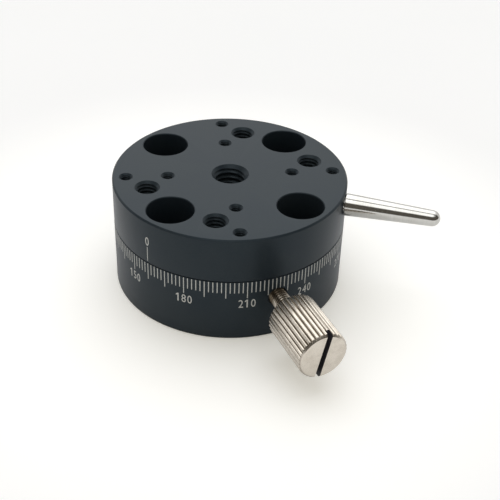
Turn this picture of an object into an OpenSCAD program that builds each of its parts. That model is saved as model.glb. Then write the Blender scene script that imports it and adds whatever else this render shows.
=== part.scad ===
// Coarse rotation stage, 40 mm across: a round table that turns by hand on a
// thin ball bearing in a round base, with a turning lever and a clamp screw.
// Millimetres. Z is the turning axis, z = 0 is the underside of the base, and
// the table's hole pattern lies square to X and Y. Azimuths are measured from
// +X, anticlockwise seen from above.

/* [Body] */
// Diameter of the base and of the table
stage_d = 40; // [39:0.5:44]
// Height of the base ring
base_h = 11.6; // [11.2:0.1:13]
// Thickness of the table
table_t = 8; // [7.5:0.1:10]
// Running gap between the base and the table
split_gap = 0.1; // [0.05:0.01:0.2]
// Edge break on the outer corners of the base and the table
edge_break = 0.2; // [0.1:0.05:0.4]
// Azimuth of the index mark on the table
index_az = 268.5; // [260:0.5:280]
// Scale reading under the index mark
reading = 160; // [0:1:359]

/* [Mounting holes] */
// Diameter of the circle of the four mounting holes
mount_pcd = 30; // [29.5:0.1:31]
// Through hole for an M4 screw in the base
mount_hole_d = 4.5; // [4.3:0.1:4.8]
// Counterbore for the screw's head in the base
counterbore_d = 7.8; // [7.4:0.1:8]
// Thickness left under the screw's head
mount_floor_t = 4.6; // [4:0.1:6]
// Access hole in the table, which lets the screw's head through
access_d = 7.8; // [7.4:0.1:8]

/* [Tapped holes of the table] */
// Thread of the centre hole
centre_thread_d = 6; // [5:0.5:6]
// Thread pitch of the centre hole
centre_pitch = 1; // [0.8:0.1:1]
// Thread of the four platform holes
platform_thread_d = 4; // [3:0.5:4.5]
// Thread pitch of the platform holes
platform_pitch = 0.7; // [0.5:0.05:0.75]
// Spacing of the platform holes along X
platform_x = 15; // [14:0.5:16]
// Spacing of the platform holes along Y
platform_y = 25; // [24:0.5:26]
// Thread of the small holes
small_thread_d = 2; // [1.6:0.1:2.2]
// Thread pitch of the small holes
small_pitch = 0.4; // [0.3:0.05:0.45]
// Side of the inner square of small holes
inner_square = 15; // [14.5:0.5:15.5]
// Side of the outer square of small holes
outer_square = 25; // [24.5:0.5:25.5]
// Depth of the small holes
small_depth = 5; // [3:0.5:6]

/* [Bearing] */
// Bore of the bearing
bearing_bore = 15; // [14.8:0.1:15.2]
// Outer diameter of the bearing
bearing_od = 21; // [20.6:0.1:21.4]
// Width of the bearing
bearing_w = 4; // [3.8:0.1:4.2]
// Diameter of the balls, as a share of the thickness between bore and outside
ball_share = 0.533; // [0.5:0.01:0.55]
// Number of balls
ball_count = 14; // [10:1:16]
// Running clearance between a ball and its raceway
ball_gap = 0.03; // [0.02:0.01:0.05]

/* [Hub] */
// Radial clearance between the hub's flange and the pocket of the base
pocket_gap = 0.4; // [0.3:0.05:0.5]
// Depth of the hub's register in the table
register_depth = 0.8; // [0.6:0.1:1.2]
// Thickness of the shim between the hub and the inner race
shim_t = 0.2; // [0.1:0.05:0.3]
// Thread of the screws in the hub
screw_d = 2; // [1.8:0.1:2.1]
// Head diameter of the socket screws in the hub
screw_head_d = 3.8; // [3.6:0.1:3.9]
// Head height of the socket screws in the hub
screw_head_h = 2; // [1.8:0.1:2.2]
// Number of screws in each set
screw_count = 3; // [3:1:3]
// Thickness of the plate that clamps the inner race
plate_t = 1; // [0.9:0.05:1.05]

/* [Underside] */
// Thickness of the threaded ring that locks the outer race
lock_ring_t = 0.9; // [0.8:0.05:1]
// Thickness of the bottom cap
cap_t = 0.3; // [0.2:0.05:0.35]
// How far the bottom cap is set up from the underside
cap_inset = 0.1; // [0.05:0.05:0.15]

/* [Lever] */
// Azimuth of the lever
lever_az = 24.7; // [15:0.5:30]
// Height of the lever's axis below the top of the table
lever_drop = 2.4; // [2.2:0.1:4]
// Diameter of the lever at the table
lever_root_d = 3.8; // [3:0.1:4]
// Diameter of the lever near its tip
lever_tip_d = 2.73; // [2:0.05:3]
// Length of the lever outside the table
lever_l = 16; // [10:0.5:30]
// Thread that holds the lever
lever_thread_d = 3; // [2:0.5:3]
// Depth of the lever's thread in the table
lever_thread_l = 5; // [4:0.5:6]

/* [Clamp] */
// Reading of the base scale above the clamp screw
clamp_reading = 225; // [222:0.5:228]
// Height of the clamp's axis above the top of the bearing
clamp_rise = 2.1; // [2:0.1:3]
// Thread of the clamp screw
clamp_thread_d = 3; // [2.5:0.1:3.2]
// Radial clearance of the clamp screw and its pad in the base
clamp_gap = 0.05; // [0.03:0.01:0.08]
// Distance from the base to the knurled head
clamp_standoff = 5; // [3:0.5:8]
// Diameter of the knurled head
knob_d = 8.3; // [7:0.1:10]
// Length of the knurled head
knob_l = 11; // [8:0.5:14]
// Chamfer of the knurled head
knob_chamfer = 0.4; // [0.2:0.05:0.6]
// Number of grooves in the knurl
knurl_count = 34; // [24:1:40]
// Depth of the grooves in the knurl
knurl_depth = 0.26; // [0.15:0.01:0.35]
// Width of the driver slot in the head
slot_w = 0.8; // [0.5:0.05:1]
// Depth of the driver slot in the head
slot_depth = 1.3; // [1:0.1:2]
// Angle of the driver slot from upright
slot_turn = -12.5; // [-90:0.5:90]
// Length of the brass pad at the screw's end
pad_l = 2.8; // [2.5:0.1:3.2]

/* [Hidden] */

$fn = 96;
quarter_turn = 90;   // between the four mounting holes
cut = 0.5;           // how far a cutting solid runs past a face
fit = 0.02;          // radial clearance of pieces that stay put
hole_chamfer = 0.12; // how far the mouth of a plain or platform hole is broken
centre_chamfer = 0.2;
small_chamfer = 0.18;
screw_clear = 0.1;   // radial clearance of a screw and of its head

// Heights, from the underside upwards
cap_land = 0.3; // between the cap's seat and the lock ring
cap_top = cap_inset + cap_t;
lock_ring_z = cap_top + cap_land;
bearing_z = lock_ring_z + lock_ring_t;
shoulder_z = bearing_z + bearing_w;
clamp_z = shoulder_z + clamp_rise;
table_z = base_h + split_gap;
top_z = table_z + table_t;
register_z = table_z + register_depth;
bearing_mid_z = bearing_z + bearing_w / 2;
plate_z = bearing_z - plate_t;

// Radii of the base
base_r = stage_d / 2;
race_lip = 0.7;       // how far the base's shoulder covers the outer race
lock_ring_step = 0.5; // from the bearing's outside to that of the lock ring
cap_step = 0.6;       // from there to the outside of the cap's seat
bearing_section = (bearing_od - bearing_bore) / 2;
pocket_r = bearing_od / 2 - race_lip;
lock_ring_r = bearing_od / 2 + lock_ring_step;
cap_r = lock_ring_r + cap_step;
base_zero_az = index_az - reading;
clamp_az = base_zero_az + clamp_reading;

// Bearing
ball_d = ball_share * bearing_section;
ball_ring_r = (bearing_bore + bearing_section) / 2;
groove_r = ball_d / 2 + ball_gap;
land_half = 0.31 * ball_d; // half of the space between the two races
shield_step = 0.22 * ball_d;
outer_land_r = ball_ring_r + land_half;
inner_land_r = ball_ring_r - land_half;
race_chamfer = 0.15;
pocket_clear = 0.06; // clearance of a ball in its cage
shield_t = 0.2;
shield_gap = 0.1;    // between a shield and the inner race
wire_t = 0.22;
wire_gap_angle = 12;
wire_bite = 0.08;    // how far a wire snaps into the race
wire_shoulder = 0.2; // thickness of the race outside a wire
shield_in = bearing_w / 2 - shield_t - wire_t - wire_shoulder; // from the middle
cage_half_t = 0.19 * ball_d;
cage_above = 0.3 * ball_d;
cage_reach = 0.6;    // share of the room below the balls that the cage takes
cage_below = ball_d / 2 + cage_reach * (shield_in - ball_d / 2);
shield_r = outer_land_r + shield_step;
wire_r = shield_r + wire_bite;
wire_w = 0.85 * shield_step;

// Hub
flange_r = pocket_r - pocket_gap;
journal_r = bearing_bore / 2 - fit;
seat_step = 0.1;       // how far the hub and its shim stay inside the race's land
pinch = 0.1;           // room above the plate, so that it clamps the race
flange_rise = 0.5;     // from the base's shoulder to the hub's flange
screw_seat_rise = 0.9; // from there to the seats of the screw heads
well_floor = 0.7;      // between those seats and the well
well_room = 0.2;       // radial, round a screw in the table's thread
journal_wall = 0.6;    // outside the screw heads
seat_r = inner_land_r - seat_step;
hub_z = bearing_z + pinch;
flange_z = shoulder_z + flange_rise;
well_r = centre_thread_d / 2 + well_room;
screw_head_r = screw_head_d / 2 + screw_clear;
screw_ring_r = journal_r - screw_head_r - journal_wall;
screw_seat_z = flange_z + screw_seat_rise;
well_z = screw_seat_z + well_floor;
screw_engagement = 2.6;
screw_hole_spare = 0.8;
plate_screw_l = 4;
plate_r = seat_r;
plate_head_r = 0.9 * screw_d;
hex_key_d = 0.8 * screw_d;
cross_w = 0.25 * screw_d;

// Clamp
clamp_r = clamp_thread_d / 2;
clamp_hole_r = clamp_r + clamp_gap;
pad_from_hub = 0.05;
pad_start = flange_r + pad_from_hub;
nose_r = 0.4 * clamp_r;
nose_l = 1.2;
knob_start = base_r + clamp_standoff;
knob_end = knob_start + knob_l;

// A solid of revolution about Z between two heights, with both corners broken
module turned_disc(r, z0, z1, low_break, high_break) {
    rotate_extrude()
        polygon([[0, z0], [r - low_break, z0], [r, z0 + low_break], [r, z1 - high_break],
            [r - high_break, z1], [0, z1]]);
}

// A plain ring between two heights
module ring(outer_r, inner_r, z0, z1) {
    translate([0, 0, z0])
        difference() {
            cylinder(r = outer_r, h = z1 - z0);
            translate([0, 0, -cut]) cylinder(r = inner_r, h = z1 - z0 + 2 * cut);
        }
}

// The cutting solid of a hole from z0 up to z1
module bore(r, z0, z1) {
    translate([0, 0, z0]) cylinder(r = r, h = z1 - z0);
}

// The cutting solid of a countersink that opens upwards at height z
module countersink(r, depth, z) {
    translate([0, 0, z - depth]) cylinder(r1 = r, r2 = r + 2 * depth, h = 2 * depth);
}

// The same, opening downwards at height z
module countersink_below(r, depth, z) {
    translate([0, 0, z - depth]) cylinder(r1 = r + 2 * depth, r2 = r, h = 2 * depth);
}

// Puts its children at the four mounting holes, from the first one's azimuth
module at_mounting_holes(first_az) {
    for (i = [0:3])
        rotate([0, 0, first_az + i * quarter_turn])
            translate([mount_pcd / 2, 0, 0]) children();
}

// Puts its children at the corners of a rectangle about the axis
module at_corners(size_x, size_y) {
    for (sx = [-1, 1], sy = [-1, 1])
        translate([sx * size_x / 2, sy * size_y / 2, 0]) children();
}

// Puts its children round the hub's screw circle
module at_hub_screws(first_az) {
    for (i = [0:screw_count - 1])
        rotate([0, 0, first_az + i * 360 / screw_count])
            translate([screw_ring_r, 0, 0]) children();
}

// Turns Z outwards along a radius at the given azimuth and height
module radially(az, z) {
    translate([0, 0, z]) rotate([0, 0, az]) rotate([0, 90, 0]) children();
}

function tap_drill_r(thread_d, pitch) = (thread_d - pitch) / 2;

// A tapped hole right through the table, at its tap drill size, with both
// mouths countersunk to a little more than the thread
module tapped_through(thread_d, pitch, mouth_break) {
    r = tap_drill_r(thread_d, pitch);
    depth = thread_d / 2 - r + mouth_break;
    bore(r, table_z - cut, top_z + cut);
    countersink(r, depth, top_z);
    countersink_below(r, depth, table_z);
}

// A tapped hole with the cone that its drill leaves
module tapped_blind(thread_d, pitch, depth, mouth_break) {
    r = tap_drill_r(thread_d, pitch);
    bore(r, top_z - depth, top_z + cut);
    translate([0, 0, top_z - depth - r / 2]) cylinder(r1 = 0, r2 = r, h = r / 2);
    countersink(r, thread_d / 2 - r + mouth_break, top_z);
}

// Base: a turned ring with a stepped bore, four counterbored mounting holes
// and the tapped hole of the clamp
module base_ring() {
    color([0.20, 0.22, 0.25])
    difference() {
        turned_disc(base_r, 0, base_h, edge_break, edge_break);
        bore(cap_r, -cut, cap_top);
        bore(lock_ring_r, -cut, bearing_z);
        bore(bearing_od / 2, -cut, shoulder_z);
        bore(pocket_r, -cut, base_h + cut);
        at_mounting_holes(base_zero_az) {
            bore(mount_hole_d / 2, -cut, base_h + cut);
            bore(counterbore_d / 2, mount_floor_t, base_h + cut);
            countersink(counterbore_d / 2, hole_chamfer, base_h);
            countersink_below(mount_hole_d / 2, hole_chamfer, 0);
        }
        radially(clamp_az, clamp_z) {
            bore(clamp_hole_r, pocket_r - cut, base_r + cut);
            countersink(clamp_hole_r, 2 * hole_chamfer, base_r);
        }
    }
}

// The raceway groove shared by both races
module raceway() {
    translate([0, 0, bearing_mid_z])
        rotate_extrude() translate([ball_ring_r, 0]) circle(r = groove_r);
}

// Puts its children, drawn upwards from the bearing's middle plane, at its
// upper side, or mirrored at its lower side
module bearing_side(side) {
    translate([0, 0, bearing_mid_z]) mirror([0, 0, side < 0 ? 1 : 0]) children();
}

module bearing_outer_race() {
    color([0.72, 0.73, 0.74])
    difference() {
        turned_disc(bearing_od / 2 - fit, bearing_z, shoulder_z, race_chamfer, race_chamfer);
        bore(outer_land_r, bearing_z - cut, shoulder_z + cut);
        raceway();
        for (side = [-1, 1])
            bearing_side(side) {
                bore(shield_r, shield_in, bearing_w);
                bore(wire_r, shield_in + shield_t, shield_in + shield_t + wire_t + fit);
            }
    }
}

module bearing_inner_race() {
    color([0.72, 0.73, 0.74])
    difference() {
        ring(inner_land_r, bearing_bore / 2, bearing_z, shoulder_z);
        raceway();
    }
}

// Puts its children at the balls' centres
module at_balls() {
    for (i = [0:ball_count - 1])
        translate([0, 0, bearing_mid_z]) rotate([0, 0, i * 360 / ball_count])
            translate([ball_ring_r, 0, 0]) children();
}

module bearing_balls() {
    color([0.80, 0.81, 0.82]) at_balls() sphere(d = ball_d);
}

// Crown cage: a ring below and between the balls, whose open pockets hold
// each ball by a little more than its half
module bearing_cage() {
    color([0.85, 0.80, 0.62])
    difference() {
        ring(ball_ring_r + cage_half_t, ball_ring_r - cage_half_t,
            bearing_mid_z - cage_below, bearing_mid_z + cage_above);
        at_balls()
            rotate([0, 90, 0])
                cylinder(r = ball_d / 2 + pocket_clear, h = 4 * cage_half_t, center = true);
    }
}

module shield() {
    ring(shield_r - fit, inner_land_r + shield_gap, shield_in, shield_in + shield_t);
}

module shield_upper() {
    color([0.62, 0.63, 0.65]) bearing_side(1) shield();
}

module shield_lower() {
    color([0.62, 0.63, 0.65]) bearing_side(-1) shield();
}

// Open wire ring that snaps into the outer race and holds the shield
module snap_wire() {
    rotate([0, 0, wire_gap_angle / 2])
        rotate_extrude(angle = 360 - wire_gap_angle)
            translate([wire_r - fit - wire_w, shield_in + shield_t]) square([wire_w, wire_t]);
}

module snap_wire_upper() {
    color([0.55, 0.56, 0.58]) bearing_side(1) snap_wire();
}

module snap_wire_lower() {
    color([0.55, 0.56, 0.58]) bearing_side(-1) snap_wire();
}

// Threaded ring under the outer race, with four spanner slots
module bearing_lock_ring() {
    slot_w_ring = 1.2;
    slot_h = 0.4;
    color([0.30, 0.31, 0.33])
    difference() {
        ring(lock_ring_r - fit, pocket_r, lock_ring_z, bearing_z);
        for (az = [0, quarter_turn])
            rotate([0, 0, clamp_az + az])
                translate([-lock_ring_r, -slot_w_ring / 2, lock_ring_z - cut])
                    cube([2 * lock_ring_r, slot_w_ring, slot_h + cut]);
    }
}

// Thin pressed cap that closes the bore from below
module bottom_cap() {
    color([0.16, 0.17, 0.19])
        turned_disc(cap_r - fit, cap_inset, cap_top, cap_t / 3, 0);
}

module bearing_shim() {
    color([0.78, 0.70, 0.45]) ring(seat_r, bearing_bore / 2, shoulder_z, shoulder_z + shim_t);
}

// Hub: the journal in the bearing and, above it, the flange that carries the
// table and that the clamp presses on
module hub() {
    seat_z = shoulder_z + shim_t;
    color([0.66, 0.67, 0.69])
    difference() {
        rotate_extrude()
            polygon([[0, hub_z], [journal_r - race_chamfer, hub_z],
                [journal_r, hub_z + race_chamfer], [journal_r, seat_z], [seat_r, seat_z],
                [seat_r, flange_z], [flange_r, flange_z], [flange_r, register_z],
                [0, register_z]]);
        bore(well_r, well_z, register_z + cut);
        at_hub_screws(0) {
            bore(screw_head_r, hub_z - cut, screw_seat_z);
            bore(screw_d / 2 + screw_clear, screw_seat_z - cut, register_z + cut);
        }
        at_hub_screws(180 / screw_count)
            bore(screw_d / 2 + fit, hub_z - cut, plate_z + plate_screw_l + screw_hole_spare);
    }
}

// Socket screws, put in from below, that hold the table on the hub
module hub_screws() {
    color([0.25, 0.25, 0.26])
    at_hub_screws(0)
        difference() {
            union() {
                bore(screw_head_d / 2, screw_seat_z - screw_head_h, screw_seat_z);
                bore(screw_d / 2, screw_seat_z - cut, register_z + screw_engagement);
            }
            translate([0, 0, screw_seat_z - screw_head_h - cut])
                cylinder(d = hex_key_d, h = screw_head_h / 2 + cut, $fn = 6);
        }
}

// Plate under the journal that clamps the inner race, with flush screws
module hub_clamp_plate() {
    color([0.50, 0.51, 0.53])
    difference() {
        turned_disc(plate_r, plate_z, bearing_z, race_chamfer, 0);
        at_hub_screws(180 / screw_count) {
            bore(screw_d / 2 + fit, plate_z - cut, bearing_z + cut);
            translate([0, 0, plate_z - cut])
                cylinder(r1 = plate_head_r + cut + fit, r2 = screw_d / 2 + fit,
                    h = plate_head_r - screw_d / 2 + cut);
        }
    }
}

module plate_screws() {
    color([0.45, 0.45, 0.47])
    at_hub_screws(180 / screw_count)
        difference() {
            union() {
                bore(screw_d / 2, plate_z, plate_z + plate_screw_l);
                translate([0, 0, plate_z])
                    cylinder(r1 = plate_head_r, r2 = screw_d / 2, h = plate_head_r - screw_d / 2);
            }
            for (turn = [0, quarter_turn])
                rotate([0, 0, turn])
                    cube([plate_head_r, cross_w, screw_d / 2], center = true);
        }
}

// Table: a turned disc with the access holes, the tapped holes, the recess of
// the hub and the lever's threaded hole
module rotating_table() {
    color([0.22, 0.24, 0.27])
    difference() {
        turned_disc(base_r, table_z, top_z, edge_break, edge_break);
        bore(flange_r + fit, table_z - cut, register_z);
        at_mounting_holes(0) {
            bore(access_d / 2, table_z - cut, top_z + cut);
            countersink(access_d / 2, hole_chamfer, top_z);
            countersink_below(access_d / 2, hole_chamfer, table_z);
        }
        tapped_through(centre_thread_d, centre_pitch, centre_chamfer);
        at_corners(platform_x, platform_y)
            tapped_through(platform_thread_d, platform_pitch, hole_chamfer);
        for (side = [inner_square, outer_square])
            at_corners(side, side)
                tapped_blind(small_thread_d, small_pitch, small_depth, small_chamfer);
        at_hub_screws(0)
            bore(screw_d / 2 + fit, table_z - cut,
                register_z + screw_engagement + screw_hole_spare);
        radially(lever_az, top_z - lever_drop)
            bore(lever_thread_d / 2 + fit, base_r - lever_thread_l, base_r + cut);
    }
}

// Lever: a tapered rod with a round tip and a threaded stub
module lever() {
    root_gap = 0.05;
    root_chamfer = 0.15;
    stub_spare = 0.3; // depth of the thread past the stub
    root = base_r + root_gap;
    tip_r = lever_tip_d / 2;
    rod_end = base_r + lever_l - tip_r;
    color([0.80, 0.79, 0.77])
    radially(lever_az, top_z - lever_drop) {
        bore(lever_thread_d / 2, base_r - lever_thread_l + stub_spare, root + cut);
        translate([0, 0, root])
            cylinder(r1 = lever_root_d / 2 - root_chamfer, r2 = lever_root_d / 2,
                h = root_chamfer);
        translate([0, 0, root + root_chamfer])
            cylinder(r1 = lever_root_d / 2, r2 = tip_r, h = rod_end - root - root_chamfer);
        translate([0, 0, rod_end]) sphere(r = tip_r);
    }
}

// Clamp screw: shank, nose for the pad, and a straight-knurled head with a
// driver slot, turned in one piece
module clamp_screw() {
    knob_r = knob_d / 2;
    color([0.82, 0.81, 0.79])
    radially(clamp_az, clamp_z)
        difference() {
            union() {
                bore(nose_r, pad_start + pad_l - nose_l, pad_start + pad_l + cut);
                bore(clamp_r, pad_start + pad_l, knob_start + cut);
                turned_disc(knob_r, knob_start, knob_end, knob_chamfer, knob_chamfer);
            }
            for (i = [0:knurl_count - 1])
                rotate([0, 0, i * 360 / knurl_count])
                    translate([0, 0, knob_start - cut])
                        linear_extrude(height = knob_l + 2 * cut)
                            knurl_groove(knob_r);
            rotate([0, 0, slot_turn])
                translate([-knob_r - cut, -slot_w / 2, knob_end - slot_depth])
                    cube([knob_d + 2 * cut, slot_w, slot_depth + cut]);
        }
}

// Section of one V groove, whose mouth is open past the head's surface
module knurl_groove(r) {
    mouth = 1.15 * knurl_depth;
    polygon([[r - knurl_depth, 0], [r + knurl_depth, 2 * mouth],
        [r + knurl_depth, -2 * mouth]]);
}

// Brass pad that swivels on the screw's nose and presses on the hub's flange
module clamp_pad() {
    color([0.80, 0.66, 0.35])
    radially(clamp_az, clamp_z)
        difference() {
            bore(clamp_r, pad_start, pad_start + pad_l - clamp_gap);
            bore(nose_r + clamp_gap, pad_start + pad_l - nose_l - clamp_gap,
                pad_start + pad_l + cut);
        }
}

base_ring();
bearing_outer_race();
bearing_inner_race();
bearing_balls();
bearing_cage();
shield_upper();
shield_lower();
snap_wire_upper();
snap_wire_lower();
bearing_lock_ring();
bottom_cap();
bearing_shim();
hub();
hub_screws();
hub_clamp_plate();
plate_screws();
rotating_table();
lever();
clamp_screw();
clamp_pad();
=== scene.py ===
"""A round rotation stage: a tapped table that turns by hand in a graduated base.

The table turns on a thin ball bearing, a tapered lever turns it, and a knurled
clamp screw holds it. Sizes in the classes below are millimetres and degrees,
and a mesh is scaled to metres when it is made. Z is the turning axis, z = 0 is
the underside of the base, and azimuths run anticlockwise from +X.
"""

import logging
import math
from dataclasses import dataclass, field
from enum import Enum
from typing import Sequence, Union

import bmesh
import bpy
from mathutils import Matrix, Vector


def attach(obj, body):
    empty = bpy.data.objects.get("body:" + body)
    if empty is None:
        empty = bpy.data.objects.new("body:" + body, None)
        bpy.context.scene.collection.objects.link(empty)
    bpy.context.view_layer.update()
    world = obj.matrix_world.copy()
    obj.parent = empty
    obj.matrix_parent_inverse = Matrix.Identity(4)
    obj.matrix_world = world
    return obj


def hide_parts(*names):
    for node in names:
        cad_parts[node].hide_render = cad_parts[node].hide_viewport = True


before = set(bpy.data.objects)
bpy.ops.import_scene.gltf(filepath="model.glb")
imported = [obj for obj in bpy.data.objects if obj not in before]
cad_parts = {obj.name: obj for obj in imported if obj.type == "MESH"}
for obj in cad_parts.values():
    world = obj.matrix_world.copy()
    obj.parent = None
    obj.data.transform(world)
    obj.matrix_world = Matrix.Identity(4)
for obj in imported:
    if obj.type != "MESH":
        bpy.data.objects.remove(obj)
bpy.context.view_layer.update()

MM = 0.001
PAST = 0.5  # how far a cutter or an added part passes a face, in millimetres
SMOOTH_ANGLE = 30.0  # edges sharper than this stay sharp, in degrees
HOLE_FLATS = 96  # how many flats go round a plain hole
ON_AXIS = 1e-6  # a radius under this is a point on the axis, in millimetres
LOG = logging.getLogger("rotation_stage")
Number = Union[float, "Term"]
Point = tuple[float, float]
Span = tuple[float, float]
Colour = tuple[float, float, float]
Materials = dict[str, bpy.types.Material]


@dataclass(frozen=True)
class Thread:
    """A metric thread, and how many flats go round it."""

    diameter: float
    pitch: float
    flats: int

    @property
    def root_r(self) -> float:
        """Radius of the tap drill."""
        return (self.diameter - self.pitch) / 2

    @property
    def depth(self) -> float:
        """Depth of the thread, from the tap drill outwards."""
        return self.pitch / 2

    @property
    def crest_r(self) -> float:
        """Radius over the crests."""
        return self.root_r + self.depth


# --------------------------------------------------------------------------
# Node trees
# --------------------------------------------------------------------------


class Term:
    """A number that flows through a node tree; Python's operators add Math nodes to it."""

    def __init__(self, graph: "Graph", socket: bpy.types.NodeSocket) -> None:
        """Wraps an output socket of a tree.

        Args:
            graph: The tree that new Math nodes go into.
            socket: The output that carries the number.
        """
        self.graph = graph
        self.socket = socket

    def __add__(self, other: Number) -> "Term":
        """The sum of the two."""
        return self.graph.math("ADD", self, other)

    __radd__ = __add__

    def __sub__(self, other: Number) -> "Term":
        """This less the other."""
        return self.graph.math("SUBTRACT", self, other)

    def __rsub__(self, other: Number) -> "Term":
        """The other less this."""
        return self.graph.math("SUBTRACT", other, self)

    def __mul__(self, other: Number) -> "Term":
        """The product of the two."""
        return self.graph.math("MULTIPLY", self, other)

    __rmul__ = __mul__

    def __truediv__(self, other: Number) -> "Term":
        """This over the other."""
        return self.graph.math("DIVIDE", self, other)

    def __rtruediv__(self, other: Number) -> "Term":
        """The other over this."""
        return self.graph.math("DIVIDE", other, self)

    def __mod__(self, other: Number) -> "Term":
        """What is left of this after whole multiples of the other."""
        return self.graph.math("FLOORED_MODULO", self, other)

    def floor(self) -> "Term":
        """The whole number at or below this."""
        return self.graph.math("FLOOR", self)

    def absolute(self) -> "Term":
        """This without its sign."""
        return self.graph.math("ABSOLUTE", self)

    def ramp(self, low: float, high: float) -> "Term":
        """A smooth step from 0 at low to 1 at high.

        Args:
            low: Where the step starts.
            high: Where it ends; it may lie below low.

        Returns:
            The stepped number.
        """
        turned = low > high
        node = self.graph.node(
            "ShaderNodeMapRange",
            {"interpolation_type": "SMOOTHSTEP"},
            {
                "Value": self,
                "From Min": min(low, high),
                "From Max": max(low, high),
                "To Min": 1.0 if turned else 0.0,
                "To Max": 0.0 if turned else 1.0,
            },
        )
        return Term(self.graph, node.outputs[0])


class Graph:
    """A node tree that is filled from Python."""

    def __init__(self, tree: bpy.types.NodeTree) -> None:
        """Starts on an empty tree.

        Args:
            tree: The tree to fill; what it holds is removed.
        """
        self.tree = tree
        tree.nodes.clear()

    def node(
        self, kind: str, settings: dict | None = None, sockets: dict | None = None
    ) -> bpy.types.Node:
        """Adds a node.

        Args:
            kind: The node's type.
            settings: Properties to set first, by name.
            sockets: Values or links by input index, identifier or name.

        Returns:
            The new node.
        """
        made = self.tree.nodes.new(kind)
        for key, value in (settings or {}).items():
            setattr(made, key, value)
        for key, value in (sockets or {}).items():
            self._feed(self._input(made, key), value)
        return made

    def math(self, operation: str, *operands: Number) -> Term:
        """Adds a Math node.

        Args:
            operation: What the node does.
            operands: Its numbers or terms, in order.

        Returns:
            The result.
        """
        node = self.node("ShaderNodeMath", {"operation": operation}, dict(enumerate(operands)))
        return Term(self, node.outputs[0])

    def split(self, vector: object) -> tuple[Term, Term, Term]:
        """The three numbers of a vector."""
        node = self.node("ShaderNodeSeparateXYZ", None, {0: vector})
        return tuple(Term(self, out) for out in node.outputs)

    def join(self, x: Number, y: Number, z: Number) -> bpy.types.NodeSocket:
        """The vector of three numbers."""
        return self.node("ShaderNodeCombineXYZ", None, {0: x, 1: y, 2: z}).outputs[0]

    def length(self, x: Number, y: Number) -> Term:
        """How far a point is from the Z axis."""
        return self.math("SQRT", x * x + y * y)

    def blend(self, mask: Number, low: object, high: object) -> bpy.types.NodeSocket:
        """Mixes two colours.

        Args:
            mask: 0 gives low, 1 gives high.
            low: A colour or a colour output.
            high: A colour or a colour output.

        Returns:
            The mixed colour.
        """
        sockets = {"Factor_Float": mask, "A_Color": low, "B_Color": high}
        node = self.node("ShaderNodeMix", {"data_type": "RGBA"}, sockets)
        return next(o for o in node.outputs if o.identifier == "Result_Color")

    def _feed(self, socket: bpy.types.NodeSocket, value: object) -> None:
        """Links a term or an output to an input, or sets the input's own value.

        Args:
            socket: The input.
            value: A term, an output, a number, a vector or a colour.
        """
        if isinstance(value, Term):
            value = value.socket
        if isinstance(value, bpy.types.NodeSocket):
            self.tree.links.new(value, socket)
        elif socket.type == "RGBA":
            socket.default_value = (*value, 1.0)
        else:
            socket.default_value = value

    @staticmethod
    def _input(node: bpy.types.Node, key: object) -> bpy.types.NodeSocket:
        """Finds an input of a node.

        Args:
            node: The node.
            key: The input's index, identifier or name.

        Returns:
            The input.
        """
        if isinstance(key, int):
            return node.inputs[key]
        found = [s for s in node.inputs if s.identifier == key]
        return (found or [s for s in node.inputs if s.name == key])[0]


class Surface(Graph):
    """The node tree of one material, with its shader."""

    def __init__(self, name: str) -> None:
        """Makes the material and its shader.

        Args:
            name: The material's name.
        """
        self.material = bpy.data.materials.new(name)
        self.material.use_nodes = True
        super().__init__(self.material.node_tree)
        self.shader = self.node("ShaderNodeBsdfPrincipled")
        self.node("ShaderNodeOutputMaterial", None, {0: self.shader.outputs[0]})
        self.place = self.node("ShaderNodeTexCoord").outputs["Object"]

    def along(self, placement: Matrix) -> bpy.types.NodeSocket:
        """Coordinates in which a turned piece's own axis is Z.

        Args:
            placement: Where the piece's axis and origin are, in metres.

        Returns:
            The turned coordinates.
        """
        return self.node(
            "ShaderNodeMapping",
            {"vector_type": "TEXTURE"},
            {
                "Vector": self.place,
                "Location": placement.to_translation(),
                "Rotation": placement.to_euler(),
            },
        ).outputs[0]

    def noise(
        self, vector: object, size: float, detail: float = 2.0, rough: float = 0.5
    ) -> Term:
        """A noise from 0 to 1.

        Args:
            vector: The coordinates that it is read at, in metres.
            size: The length of one wave, in millimetres.
            detail: How many finer layers are added.
            rough: How strong each finer layer is.

        Returns:
            The noise.
        """
        sockets = {"Vector": vector, "Scale": 1.0 / (size * MM), "Detail": detail, "Roughness": rough}
        node = self.node("ShaderNodeTexNoise", {"noise_dimensions": "3D"}, sockets)
        return Term(self, node.outputs["Fac"])

    def bump(
        self, height: Term, depth: float, under: bpy.types.NodeSocket | None = None
    ) -> bpy.types.NodeSocket:
        """Turns a height into a normal.

        Args:
            height: The height, from 0 to 1.
            depth: What a height of 1 stands for, in millimetres.
            under: A normal that this one is added to.

        Returns:
            The normal.
        """
        sockets = {"Strength": 1.0, "Distance": depth * MM, "Height": height}
        if under is not None:
            sockets["Normal"] = under
        return self.node("ShaderNodeBump", None, sockets).outputs[0]

    def set(self, **values: object) -> None:
        """Sets or links the shader's sockets.

        Args:
            values: Values or links, named as the sockets are, with _ for a space.
        """
        for name, value in values.items():
            self._feed(self.shader.inputs[name.replace("_", " ")], value)


# --------------------------------------------------------------------------
# Finishes
# --------------------------------------------------------------------------


class Lay(Enum):
    """The direction in which a tool has left its marks."""

    ROUND = "round the axis"
    NONE = "no direction"


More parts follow.
